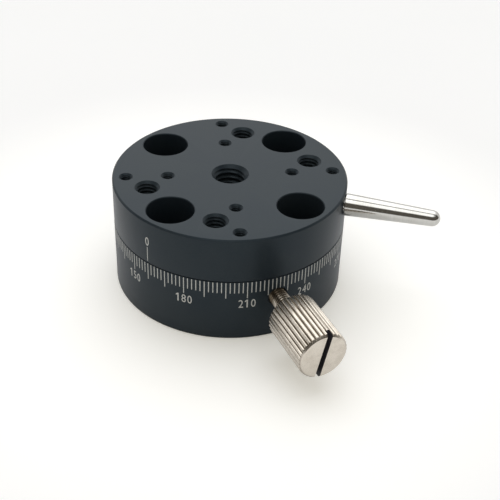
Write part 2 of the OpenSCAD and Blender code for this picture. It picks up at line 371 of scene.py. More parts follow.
@dataclass(frozen=True)
class AnodisedFinish:
    """Black anodised aluminium over a fine blasted or turned surface."""

    name: str
    colour: Colour = (0.0125, 0.0180, 0.0240)
    worn: Colour = (0.019, 0.025, 0.029)
    shine: Colour = (0.76, 0.92, 1.0)
    roughness: float = 0.36
    ior: float = 1.33
    cloud_size: float = 7.0
    cloud_weight: float = 0.7
    cloud_roughness: float = 0.1
    grain_size: float = 0.22
    grain_weight: float = 0.5
    grain_roughness: float = 0.12
    grain_depth: float = 0.004
    ring_size: float = 0.09
    ring_depth: float = 0.0012
    wear_span: Span = (0.38, 0.82)

    def make(self) -> bpy.types.Material:
        """Makes the material.

        Returns:
            The material.
        """
        s = Surface(self.name)
        height = s.split(s.place)[2]
        cloud = s.noise(s.place, self.cloud_size, detail=3.0)
        grain = s.noise(s.place, self.grain_size, detail=3.0, rough=0.6)
        rings = s.noise(s.join(0.0, 0.0, height), self.ring_size)
        wear = (cloud * self.cloud_weight + grain * self.grain_weight).ramp(*self.wear_span)
        uneven = self.cloud_roughness * (cloud - 0.5)
        s.set(
            Base_Color=s.blend(wear, self.colour, self.worn),
            Roughness=self.roughness + uneven + self.grain_roughness * (grain - 0.5),
            IOR=self.ior,
            Specular_Tint=self.shine,
            Normal=s.bump(rings, self.ring_depth, s.bump(grain, self.grain_depth)),
        )
        return s.material


@dataclass(frozen=True)
class MetalFinish:
    """A bare or plated metal with the marks of the tool that made it."""

    name: str
    colour: Colour
    shade: Colour
    roughness: float = 0.3
    lay: Lay = Lay.NONE
    mark_size: float = 0.08
    mark_depth: float = 0.0015
    mark_weight: float = 0.65
    mark_roughness: float = 0.12
    cloud_size: float = 3.0
    cloud_weight: float = 0.55
    cloud_roughness: float = 0.08
    shade_span: Span = (0.35, 0.85)
    placement: Matrix = field(default_factory=Matrix)

    def make(self) -> bpy.types.Material:
        """Makes the material.

        Returns:
            The material.
        """
        s = Surface(self.name)
        local = s.along(self.placement)
        if self.lay is Lay.ROUND:
            x, y, z = s.split(local)
            marks = s.noise(s.join(s.length(x, y), 0.0, z), self.mark_size)
        else:
            marks = s.noise(local, self.mark_size, detail=3.0)
        cloud = s.noise(local, self.cloud_size, detail=3.0)
        dull = (self.mark_weight * marks + self.cloud_weight * cloud).ramp(*self.shade_span)
        uneven = self.mark_roughness * (marks - 0.5)
        s.set(
            Base_Color=s.blend(dull, self.colour, self.shade),
            Metallic=1.0,
            Roughness=self.roughness + uneven + self.cloud_roughness * (cloud - 0.5),
            Normal=s.bump(marks, self.mark_depth),
        )
        return s.material


@dataclass(frozen=True)
class KnurledNickelFinish:
    """Satin nickel plate on a straight knurl, with painted shade in its grooves, in its thread's roots
    and where the shank enters the base.
    """

    name: str
    placement: Matrix
    ridge_r: float
    groove_r: float
    head_z: float
    end_z: float
    chamfer: float
    thread: Thread
    mouth_z: float
    colour: Colour = (0.75, 0.69, 0.60)
    clouded: Colour = (0.66, 0.60, 0.515)
    # the colour of the painted shade in the grooves, in the thread's roots and at the shank's mouth
    groove: Colour = (0.13, 0.105, 0.075)
    roughness: float = 0.24
    cloud_size: float = 1.6
    cloud_depth: float = 0.006
    cloud_span: Span = (0.35, 0.65)
    cloud_roughness: float = 0.16
    mark_size: float = 0.07
    mark_depth: float = 0.0012
    mark_roughness: float = 0.10
    # the painted shade in the grooves: its least strength, what a cloud adds, and how much rougher it
    # is there
    oil_least: float = 0.45
    oil_cloud: float = 0.9
    oil_roughness: float = 0.15
    rim_w: float = 0.25
    neck_l: float = 0.2
    # the painted shade on the shank is full this far past the base's face, and gone by the next
    oiled_l: float = 0.6
    clean_l: float = 2.4

    def make(self) -> bpy.types.Material:
        """Makes the material.

        Returns:
            The material.
        """
        s = Surface(self.name)
        local = s.along(self.placement)
        x, y, z = s.split(local)
        radius = s.length(x, y)
        cloud = s.noise(local, self.cloud_size, detail=4.0, rough=0.6)
        marks = s.noise(s.join(radius, 0.0, z), self.mark_size)
        deep = radius.ramp(self.ridge_r * MM, self.groove_r * MM)
        rim = radius.ramp((self.groove_r - self.rim_w) * MM, self.groove_r * MM)
        rim *= z.ramp(self.end_z * MM, (self.end_z - self.chamfer) * MM)
        # painted shade on the shank: in its thread's roots, and all over it near where it enters the
        # base
        shank = z.ramp((self.head_z + self.neck_l) * MM, self.head_z * MM)
        turns = radius.ramp(self.thread.crest_r * MM, self.thread.root_r * MM)
        mouth_shade = z.ramp((self.mouth_z + self.clean_l) * MM, (self.mouth_z + self.oiled_l) * MM)
        # painted shade: darker towards the knurl's groove bottoms, unevenly by a cloud, and not on the
        # end face
        painted_groove_shade = deep * rim * (self.oil_least + self.oil_cloud * cloud)
        dark = s.math("MAXIMUM", painted_groove_shade, shank * s.math("MAXIMUM", turns, mouth_shade))
        plate = s.blend(cloud.ramp(*self.cloud_span), self.colour, self.clouded)
        uneven = self.roughness + self.cloud_roughness * (cloud - 0.5)
        uneven += self.mark_roughness * (marks - 0.5)
        s.set(
            Base_Color=s.blend(dark, plate, self.groove),
            Metallic=1.0,
            Roughness=uneven + self.oil_roughness * painted_groove_shade,
            Normal=s.bump(marks, self.mark_depth, s.bump(cloud, self.cloud_depth)),
        )
        return s.material


@dataclass(frozen=True)
class PlasticFinish:
    """Moulded nylon, the filling of an engraved scale, or the near-black painted shade in a slot."""

    name: str
    colour: Colour
    shade: Colour
    roughness: float = 0.5
    grain_size: float = 0.12
    grain_span: Span = (0.35, 0.7)
    grain_roughness: float = 0.15
    grain_depth: float = 0.002

    def make(self) -> bpy.types.Material:
        """Makes the material.

        Returns:
            The material.
        """
        s = Surface(self.name)
        grain = s.noise(s.place, self.grain_size, detail=3.0, rough=0.6)
        s.set(
            Base_Color=s.blend(grain.ramp(*self.grain_span), self.colour, self.shade),
            Roughness=self.roughness + self.grain_roughness * (grain - 0.5),
            Normal=s.bump(grain, self.grain_depth),
        )
        return s.material


# --------------------------------------------------------------------------
# Meshes
# --------------------------------------------------------------------------


def placed(name: str, data: bpy.types.ID) -> bpy.types.Object:
    """Puts a new object into the scene.

    Args:
        name: The object's name.
        data: Its mesh, text, lamp or camera.

    Returns:
        The object.
    """
    made = bpy.data.objects.new(name, data)
    bpy.context.scene.collection.objects.link(made)
    return made


def plain_mesh(source: bpy.types.Object) -> bpy.types.Mesh:
    """The mesh that an object's modifiers or its letters make."""
    bpy.context.view_layer.update()
    return bpy.data.meshes.new_from_object(source.evaluated_get(bpy.context.evaluated_depsgraph_get()))


@dataclass(frozen=True)
class Corner:
    """A corner of a turned outline, at a radius and a height, and how far it is rounded."""

    r: float
    z: float
    fillet: float = 0.0


def rounded(corners: Sequence[Corner], closed: bool = False, steps: int = 5) -> list[Point]:
    """Rounds the corners of an outline.

    Args:
        corners: The corners, in order.
        closed: True if the last corner joins the first.
        steps: How many short edges make one rounded corner.

    Returns:
        The outline's points, as (radius, height).
    """
    points: list[Point] = []
    count = len(corners)
    for i, corner in enumerate(corners):
        at_end = not closed and i in (0, count - 1)
        if corner.fillet <= 0 or at_end:
            points.append((corner.r, corner.z))
            continue
        here, last, following = (
            Vector((c.r, c.z)) for c in (corner, corners[i - 1], corners[(i + 1) % count])
        )
        back = (last - here).normalized()
        ahead = (following - here).normalized()
        half = back.angle(ahead) / 2
        centre = here + (back + ahead).normalized() * (corner.fillet / math.sin(half))
        reach = corner.fillet / math.tan(half)
        start = here + back * reach - centre
        end = here + ahead * reach - centre
        first = math.atan2(start.y, start.x)
        sweep = math.atan2(end.y, end.x) - first
        sweep = (sweep + math.pi) % (2 * math.pi) - math.pi
        for step in range(steps + 1):
            angle = first + sweep * step / steps
            across = corner.fillet * math.cos(angle)
            points.append((centre.x + across, centre.y + corner.fillet * math.sin(angle)))
    return points


def mesh_object(
    name: str, points: Sequence[Sequence[float]], faces: Sequence[Sequence[int]]
) -> bpy.types.Object:
    """Makes an object from points and faces, with its faces turned outwards.

    Args:
        name: The object's name.
        points: The points, in millimetres.
        faces: The faces, as lists of point numbers.

    Returns:
        The object, in metres, with no material.
    """
    mesh = bpy.data.meshes.new(name)
    mesh.from_pydata([Vector(p) * MM for p in points], [], faces)
    body = bmesh.new()
    body.from_mesh(mesh)
    bmesh.ops.recalc_face_normals(body, faces=body.faces)
    body.to_mesh(mesh)
    body.free()
    return placed(name, mesh)


def turned(
    name: str, outline: Sequence[Point], closed: bool = False, segments: int = 256, offset: float = 0.0
) -> bpy.types.Object:
    """Turns an outline about Z.

    Args:
        name: The object's name.
        outline: Points as (radius, height); an open one starts and ends on the axis.
        closed: True if the outline is a ring's section, which never meets the axis.
        segments: How many flats go round.
        offset: How far every point is turned on, as a share of a flat.

    Returns:
        The object.
    """
    points: list[tuple[float, float, float]] = []
    rings: list[range] = []
    for r, z in outline:
        start = len(points)
        if r < ON_AXIS:
            points.append((0.0, 0.0, z))
        else:
            turns = [2 * math.pi * (i + offset) / segments for i in range(segments)]
            points += [(r * math.cos(turn), r * math.sin(turn), z) for turn in turns]
        rings.append(range(start, len(points)))
    faces: list[list[int]] = []
    for low, high in zip(rings, rings[1:] + (rings[:1] if closed else [])):
        for i in range(segments):
            j = (i + 1) % segments
            loop = (low[i % len(low)], low[j % len(low)], high[j % len(high)], high[i % len(high)])
            faces.append(list(dict.fromkeys(loop)))
    return mesh_object(name, points, faces)


def prism(name: str, section: Sequence[Point], low: float, high: float) -> bpy.types.Object:
    """A straight bar along Z with a given section.

    Args:
        name: The object's name.
        section: The section's corners, anticlockwise.
        low: Where the bar starts.
        high: Where it ends.

    Returns:
        The object.
    """
    count = len(section)
    points = [(x, y, z) for z in (low, high) for x, y in section]
    faces = [[i, (i + 1) % count, count + (i + 1) % count, count + i] for i in range(count)]
    faces += [list(range(count))[::-1], list(range(count, 2 * count))]
    return mesh_object(name, points, faces)


def block(name: str, low: Sequence[float], high: Sequence[float]) -> bpy.types.Object:
    """A block between its lowest and its highest corner."""
    (x0, y0, z0), (x1, y1, z1) = low, high
    return prism(name, [(x0, y0), (x1, y0), (x1, y1), (x0, y1)], z0, z1)


def hole(
    name: str, radius: float, low: float, high: float, low_break: float = 0.0, high_break: float = 0.0
) -> bpy.types.Object:
    """The cutter of a round hole along Z.

    Args:
        name: The object's name.
        radius: The hole's radius.
        low: Where it starts.
        high: Where it ends.
        low_break: Depth of the chamfer at its start, whose cone goes on past the face.
        high_break: Depth of the chamfer at its end.

    Returns:
        The cutter.
    """
    outline: list[Point] = [(radius, low + low_break), (radius, high - high_break)]
    if low_break:
        outline.insert(0, (radius + 2 * low_break, low - low_break))
    if high_break:
        outline.append((radius + 2 * high_break, high + high_break))
    outline = [(0.0, outline[0][1]), *outline, (0.0, outline[-1][1])]
    return turned(name, outline, segments=HOLE_FLATS)


class Cut(Enum):
    """What a Boolean does with its second solid."""

    TAKE_OFF = "DIFFERENCE"
    ADD = "UNION"


def joined(name: str, parts: Sequence[bpy.types.Object]) -> bpy.types.Object:
    """Makes one object of several, each in its own place.

    Args:
        name: The new object's name.
        parts: The objects, which are removed.

    Returns:
        The joined object.
    """
    body = bmesh.new()
    for part in parts:
        part.data.transform(part.matrix_basis)
        body.from_mesh(part.data)
        bpy.data.objects.remove(part)
    mesh = bpy.data.meshes.new(name)
    body.to_mesh(mesh)
    body.free()
    return placed(name, mesh)


def settle(piece: bpy.types.Object) -> None:
    """Replaces a piece's mesh with what its modifiers make of it.

    Args:
        piece: The piece, which loses its modifiers.
    """
    mesh = plain_mesh(piece)
    piece.modifiers.clear()
    piece.data = mesh


def combine(piece: bpy.types.Object, tool: bpy.types.Object, how: Cut) -> None:
    """Cuts a solid with another, or adds the other to it.

    Args:
        piece: The solid that changes.
        tool: The second solid, which is removed.
        how: Whether it is cut away or added.
    """
    change = piece.modifiers.new("combine", "BOOLEAN")
    change.operation = how.value
    change.solver = "MANIFOLD"
    change.object = tool
    settle(piece)
    bpy.data.objects.remove(tool)
    LOG.info("%s after %s: %d faces", piece.name, how.name.lower(), len(piece.data.polygons))


def radial(azimuth: float, height: float) -> Matrix:
    """The placement that lays Z along a radius.

    Args:
        azimuth: The radius's azimuth, in degrees.
        height: Its height, in millimetres.

    Returns:
        The placement, in metres.
    """
    return (
        Matrix.Translation((0.0, 0.0, height * MM))
        @ Matrix.Rotation(math.radians(azimuth), 4, "Z")
        @ Matrix.Rotation(math.radians(90.0), 4, "Y")
    )


def finish_piece(
    piece: bpy.types.Object,
    body: str,
    materials: Sequence[bpy.types.Material],
    nodes: Sequence[str] = (),
) -> None:
    """Dresses a piece and hangs it on the body that it moves with.

    Args:
        piece: The piece, in its place.
        body: The body that carries it.
        materials: Its materials; the first is the main one.
        nodes: The CAD nodes that it stands for.
    """
    piece.data.transform(piece.matrix_basis)
    piece.matrix_basis = Matrix()
    marks = [min(f.material_index, len(materials) - 1) for f in piece.data.polygons]
    piece.data.materials.clear()
    for material in materials:
        piece.data.materials.append(material)
    piece.data.polygons.foreach_set("material_index", marks)
    piece.data.shade_smooth()
    piece.data.set_sharp_from_angle(angle=math.radians(SMOOTH_ANGLE))
    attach(piece, body)
    if nodes:
        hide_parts(*nodes)
    LOG.info("%s: %d faces on %s", piece.name, len(piece.data.polygons), body)


# --------------------------------------------------------------------------
# Geometry Nodes
# --------------------------------------------------------------------------


class Pattern(Graph):
    """A Geometry Nodes tree with named inputs, made once and used by several pieces."""

    def __init__(self, name: str) -> None:
        """Makes the tree with its first inputs.

        Args:
            name: The tree's name.
        """
        super().__init__(bpy.data.node_groups.new(name, "GeometryNodeTree"))
        self.names: dict[str, str] = {}
        for kind in ("Geometry", "Material"):
            self._declare(kind, kind)
        self.tree.interface.new_socket("Geometry", in_out="OUTPUT", socket_type="NodeSocketGeometry")
        self.entry = self.node("NodeGroupInput")

    def _declare(self, label: str, kind: str) -> None:
        """Adds an input to the tree's interface."""
        made = self.tree.interface.new_socket(label, in_out="INPUT", socket_type="NodeSocket" + kind)
        self.names[label] = made.identifier

    def _output(self, label: str) -> bpy.types.NodeSocket:
        """The entry node's socket for a named input."""
        return next(s for s in self.entry.outputs if s.identifier == self.names[label])

    def number(self, label: str, kind: str = "Float") -> Term:
        """Adds a named number.

        Args:
            label: The input's name.
            kind: Float or Int.

        Returns:
            The number.
        """
        self._declare(label, kind)
        return Term(self, self._output(label))

    def thing(self, label: str) -> bpy.types.NodeSocket:
        """Adds a named object.

        Args:
            label: The input's name.

        Returns:
            The object's geometry.
        """
        self._declare(label, "Object")
        info = self.node("GeometryNodeObjectInfo", None, {"Object": self._output(label)})
        return info.outputs["Geometry"]

    def close(self, geometry: bpy.types.NodeSocket) -> None:
        """Ends the tree in real geometry with its material.

        Args:
            geometry: What the tree has made.
        """
        real = self.node("GeometryNodeRealizeInstances", None, {0: geometry}).outputs[0]
        sockets = {"Geometry": real, "Material": self._output("Material")}
        made = self.node("GeometryNodeSetMaterial", None, sockets).outputs[0]
        self.node("NodeGroupOutput", None, {0: made})

    def apply(self, name: str, **values: object) -> bpy.types.Object:
        """Runs the tree and makes a plain mesh of the result.

        Args:
            name: The new object's name.
            values: The tree's inputs, with _ for a space.

        Returns:
            The new object.
        """
        made = placed(name, bpy.data.meshes.new(name))
        run = made.modifiers.new(self.tree.name, "NODES")
        run.node_group = self.tree
        for label, value in values.items():
            run[self.names[label.replace("_", " ")]] = value
        settle(made)
        return made


class CopyPattern(Pattern):
    """A tree that repeats a part."""

    def __init__(self, name: str) -> None:
        """Makes the tree with the input of its part.

        Args:
            name: The tree's name.
        """
        super().__init__(name)
        self.part = self.thing("Part")
        self.index = Term(self, self.node("GeometryNodeInputIndex").outputs[0])

    def spread(self, points: dict, copies: dict) -> None:
        """Ends the tree in copies of the part.

        Args:
            points: Sockets of the node that makes the places.
            copies: Sockets of the node that sets a copy at each place.
        """
        row = self.node("GeometryNodePoints", None, points).outputs[0]
        sockets = {"Points": row, "Instance": self.part, **copies}
        self.close(self.node("GeometryNodeInstanceOnPoints", None, sockets).outputs[0])

    def copies(self, name: str, part: bpy.types.Object, **values: object) -> bpy.types.Object:
        """Repeats a part and removes the one that was given.

        Args:
            name: The new object's name.
            part: What is repeated.
            values: The tree's other inputs, with _ for a space.

        Returns:
            The copies, as one object.
        """
        made = self.apply(name, Part=part, **values)
        bpy.data.objects.remove(part)
        return made


class RingPattern(CopyPattern):
    """Repeats a part round Z, with some places left out."""

    def __init__(self) -> None:
        """Builds the tree."""
        super().__init__("round the axis")
        count = self.number("Count", "Int")
        start = self.number("Start")
        every = self.number("Every", "Int")
        keep_from = self.number("Keep From", "Int")
        angle = start + self.index * (2 * math.pi) / count
        turn = self.node("FunctionNodeEulerToRotation", None, {0: self.join(0.0, 0.0, angle)})
        kept = self.math("GREATER_THAN", self.index % every, keep_from - 0.5)
        self.spread({"Count": count}, {"Selection": kept, "Rotation": turn.outputs[0]})

    def repeat(
        self,
        name: str,
        part: bpy.types.Object,
        count: int,
        start: float = 0.0,
        every: int = 1,
        keep_from: int = 0,
    ) -> bpy.types.Object:
        """Repeats a part.

        Args:
            name: The new object's name.
            part: What is repeated, which is removed.
            count: How many places there are.
            start: The first place's azimuth, in degrees.
            every: The length of one run of places.
            keep_from: The first place of each run that is filled.

        Returns:
            The copies, as one object.
        """
        return self.copies(
            name, part, Count=count, Start=math.radians(start), Every=every, Keep_From=keep_from
        )


class RectanglePattern(CopyPattern):
    """Repeats a part at the corners of a rectangle about Z."""

    def __init__(self) -> None:
        """Builds the tree."""
        super().__init__("at the corners")
        size_x = self.number("Size X")
        size_y = self.number("Size Y")
        x = (self.index % 2.0 - 0.5) * size_x
        y = ((self.index / 2.0).floor() - 0.5) * size_y
        self.spread({"Count": 4, "Position": self.join(x, y, 0.0)}, {})

    def repeat(
        self, name: str, part: bpy.types.Object, size_x: float, size_y: float
    ) -> bpy.types.Object:
        """Repeats a part at four corners.

        Args:
            name: The new object's name.
            part: What is repeated, which is removed.
            size_x: The rectangle's side along X.
            size_y: The rectangle's side along Y.

        Returns:
            The copies, as one object.
        """
        return self.copies(name, part, Size_X=size_x * MM, Size_Y=size_y * MM)


class ThreadSurface(Pattern):
    """A rod along Z whose side is a right-handed screw thread."""

    ROWS_A_TURN = 10
    # the flank lies between these shares of the way from the root's middle to the crest's
    FLANK_FOOT = 0.2
    FLANK_TOP = 0.9

    def __init__(self) -> None:
        """Builds the tree."""
        super().__init__("screw thread")
        labels = ("Root Radius", "Depth", "Pitch", "Length")
        root, depth, pitch, length = (self.number(label) for label in labels)
        around, rows = (self.number(label, "Int") for label in ("Around", "Rows"))
        rod = self.node(
            "GeometryNodeMeshCylinder",
            {"fill_type": "NGON"},
            {"Vertices": around, "Side Segments": rows, "Radius": root, "Depth": length},
        )
        x, y, z = self.split(self.node("GeometryNodeInputPosition").outputs[0])
        turn = self.math("ARCTAN2", y, x) / (2 * math.pi)
        phase = (z / pitch - turn) % 1.0
        ridge = 1.0 - (2.0 * phase - 1.0).absolute()
        flank = self.node(
            "ShaderNodeMapRange",
            {"clamp": True},
            {"Value": ridge, "From Min": self.FLANK_FOOT, "From Max": self.FLANK_TOP},
        )
        scale = 1.0 + depth * Term(self, flank.outputs[0]) / root
        sockets = {"Geometry": rod.outputs["Mesh"], "Position": self.join(x * scale, y * scale, z)}
        self.close(self.node("GeometryNodeSetPosition", None, sockets).outputs[0])

    def rod(self, name: str, thread: Thread, low: float, high: float) -> bpy.types.Object:
        """Makes a threaded rod, to cut or to add.

        Args:
            name: The new object's name.
            thread: The thread's sizes.
            low: Where the rod starts.
            high: Where it ends.

        Returns:
            The rod.
        """
        made = self.apply(
            name,
            Root_Radius=thread.root_r * MM,
            Depth=thread.depth * MM,
            Pitch=thread.pitch * MM,
            Length=(high - low) * MM,
            Around=thread.flats,
            Rows=round(self.ROWS_A_TURN * (high - low) / thread.pitch),
        )
        made.data.transform(Matrix.Translation((0.0, 0.0, (low + high) / 2 * MM)))
        return made


@dataclass(frozen=True)
class Patterns:
    """The three trees that the pieces share."""

    ring: RingPattern = field(default_factory=RingPattern)
    corners: RectanglePattern = field(default_factory=RectanglePattern)
    thread: ThreadSurface = field(default_factory=ThreadSurface)


# --------------------------------------------------------------------------
# Sub-assemblies
# --------------------------------------------------------------------------


@dataclass(frozen=True)
class StageSizes:
    """Sizes that more than one sub-assembly uses."""

    radius: float = 20.0
    base_h: float = 11.58
    table_z: float = 11.73
    top_z: float = 19.7
    edge: float = 0.22
    top_chamfer: float = 0.27
    seam_edge: float = 0.07
    mount_circle_r: float = 15.0
    big_hole_r: float = 3.9
    hole_break: float = 0.12
    pocket_r: float = 9.8
    index_azimuth: float = 268.5
    reading: float = 160.0
    clamp_reading: float = 225.0
    clamp_z: float = 7.7
    lever_azimuth: float = 24.7
    lever_z: float = 17.3

    @property
    def zero_azimuth(self) -> float:
        """Azimuth of the scale's zero."""
        return self.index_azimuth - self.reading

    @property
    def clamp_azimuth(self) -> float:
        """Azimuth of the clamp screw."""
        return self.zero_azimuth + self.clamp_reading


@dataclass
class BaseRing:
    """The base: a turned ring with a stepped bore and counterbored mounting holes."""

    sizes: StageSizes
    patterns: Patterns
    cap_seat_r: float = 11.6
    cap_seat_z: float = 0.4
    lock_ring_r: float = 11.0
    race_z: float = 1.6
    race_r: float = 10.5
    shoulder_z: float = 5.6
    screw_r: float = 2.25
    screw_floor: float = 4.6
    clamp_hole_r: float = 1.55
    clamp_break: float = 0.24
    pocket_edge: float = 0.05

    def build(self) -> bpy.types.Object:
        """Turns the ring and drills its holes.

        Returns:
            The ring.
        """
        s = self.sizes
        outline = rounded(
            [
                Corner(self.cap_seat_r, 0.0),
                Corner(s.radius, 0.0, s.edge),
                Corner(s.radius, s.base_h, s.seam_edge),
                Corner(s.pocket_r, s.base_h, self.pocket_edge),
                Corner(s.pocket_r, self.shoulder_z),
                Corner(self.race_r, self.shoulder_z),
                Corner(self.race_r, self.race_z),
                Corner(self.lock_ring_r, self.race_z),
                Corner(self.lock_ring_r, self.cap_seat_z),
                Corner(self.cap_seat_r, self.cap_seat_z),
            ],
            closed=True,
        )
        ring = turned("base_body", outline, closed=True)
        bolt = hole("bolt", self.screw_r, 0.0, s.base_h, low_break=s.hole_break)
        bore = hole("bore", s.big_hole_r, self.screw_floor, s.base_h, high_break=s.hole_break)
        for unit in (bolt, bore):
            unit.data.transform(Matrix.Translation((s.mount_circle_r * MM, 0.0, 0.0)))
            holes = self.patterns.ring.repeat("holes", unit, 4, s.zero_azimuth)
            combine(ring, holes, Cut.TAKE_OFF)
        inside = s.pocket_r - PAST
        entry = hole("entry", self.clamp_hole_r, inside, s.radius, high_break=self.clamp_break)
        entry.data.transform(radial(s.clamp_azimuth, s.clamp_z))
        combine(ring, entry, Cut.TAKE_OFF)
        return ring

    def dress(self, materials: Materials) -> None:
        """Builds the ring and gives it its finish."""
        finish = [materials["anodised_base"]]
        finish_piece(self.build(), "base", finish, ["base_ring"])


@dataclass
class Scale:
    """The scale of the base and the index of the table, engraved and filled."""

    sizes: StageSizes
    patterns: Patterns
    divisions: int = 180
    long_every: int = 5
    line_w: float = 0.15
    line_top: float = 11.5
    short_foot: float = 9.45
    long_foot: float = 8.4
    line_root: float = 0.05
    numeral_root: float = 0.03
    proud: float = 0.012
    numeral_step: int = 30
    numeral_h: float = 1.58
    numeral_z: float = 6.48
    digit_squeeze: float = 0.77
    digit_pitch: float = 0.65
    curve_steps: int = 4
    index_foot: float = 12.05
    index_top: float = 14.8
    index_w: float = 0.13
    index_numeral_z: float = 15.07
    index_numeral_h: float = 1.6
    # the digit 1 with its flag, 1 mm high
    one_outline: tuple[Point, ...] = (
        (-0.06, 0.0),
        (0.08, 0.0),
        (0.08, 1.0),
        (-0.04, 1.0),
        (-0.24, 0.84),
        (-0.24, 0.70),
        (-0.06, 0.80),
    )

    def _line(self, foot: float, top: float, width: float) -> bpy.types.Object:
        """One engraved line, at azimuth 0."""
        r = self.sizes.radius
        return block("line", (r - self.line_root, -width / 2, foot), (r + self.proud, width / 2, top))

    def _digit(self, digit: str) -> bpy.types.Object:
        """Draws a digit that is 1 mm high and stands on y = 0, with its middle near x = 0.

        Args:
            digit: The digit.

        Returns:
            The digit, 1 mm thick about z = 0.
        """
        if digit == "1":
            return prism("digit", self.one_outline, -0.5, 0.5)
        curve = bpy.data.curves.new("digit", "FONT")
        curve.body = digit
        curve.extrude = 0.5
        curve.resolution_u = self.curve_steps
        drawn = placed("digit", curve)
        mesh = plain_mesh(drawn)
        bpy.data.objects.remove(drawn)
        xs, ys = zip(*(vertex.co.xy for vertex in mesh.vertices))
        scale = MM / (max(ys) - min(ys))
        mesh.transform(
            Matrix.Diagonal((scale * self.digit_squeeze, scale, MM, 1.0))
            @ Matrix.Translation((-(max(xs) + min(xs)) / 2, -min(ys), 0.0))
        )
        return placed("digit", mesh)

    def _numeral(self, text: str, height: float, foot: float, azimuth: float) -> bpy.types.Object:
        """Writes a number round the cylinder.

        Args:
            text: The number.
            height: Its height.
            foot: Where it stands.
            azimuth: Its middle's azimuth, in degrees.

        Returns:
            The number, as a mesh that follows the cylinder.
        """
        digits = [self._digit(digit) for digit in text]
        for place, drawn in enumerate(digits):
            drawn.matrix_basis.translation.x = (place - (len(text) - 1) / 2) * self.digit_pitch * MM
        made = joined("numeral_" + text, digits)
        for vertex in made.data.vertices:
            x, y, depth = vertex.co / MM
            angle = math.radians(azimuth) + x * height / self.sizes.radius
            r = self.sizes.radius + (self.proud if depth > 0 else -self.numeral_root)
            vertex.co = Vector((r * math.cos(angle), r * math.sin(angle), foot + y * height)) * MM
        return made

    def build_base_scale(self) -> bpy.types.Object:
        """Makes the lines and numbers of the base.

        Returns:
            The scale, as one object.
        """
        zero = self.sizes.zero_azimuth
        ring = self.patterns.ring
        short = self._line(self.short_foot, self.line_top, self.line_w)
        long = self._line(self.long_foot, self.line_top, self.line_w)
        numbers = [
            self._numeral(str(value), self.numeral_h, self.numeral_z, zero + value)
            for value in range(0, 360, self.numeral_step)
        ]
        lines = [
            ring.repeat("short_lines", short, self.divisions, zero, self.long_every, 1),
            ring.repeat("long_lines", long, self.divisions // self.long_every, zero),
        ]
        return joined("base_scale", lines + numbers)

    def build_index(self) -> bpy.types.Object:
        """Makes the line and the zero of the table.

        Returns:
            The index, as one object.
        """
        azimuth = self.sizes.index_azimuth
        line = self._line(self.index_foot, self.index_top, self.index_w)
        line.data.transform(Matrix.Rotation(math.radians(azimuth), 4, "Z"))
        zero = self._numeral("0", self.index_numeral_h, self.index_numeral_z, azimuth)
        return joined("table_index", [line, zero])

    def dress(self, materials: Materials) -> None:
        """Makes the scale and the index and fills them.

        Args:
            materials: The materials by name.
        """
        filling = [materials["scale_fill"]]
        finish_piece(self.build_base_scale(), "base", filling)
        finish_piece(self.build_index(), "turntable", filling)


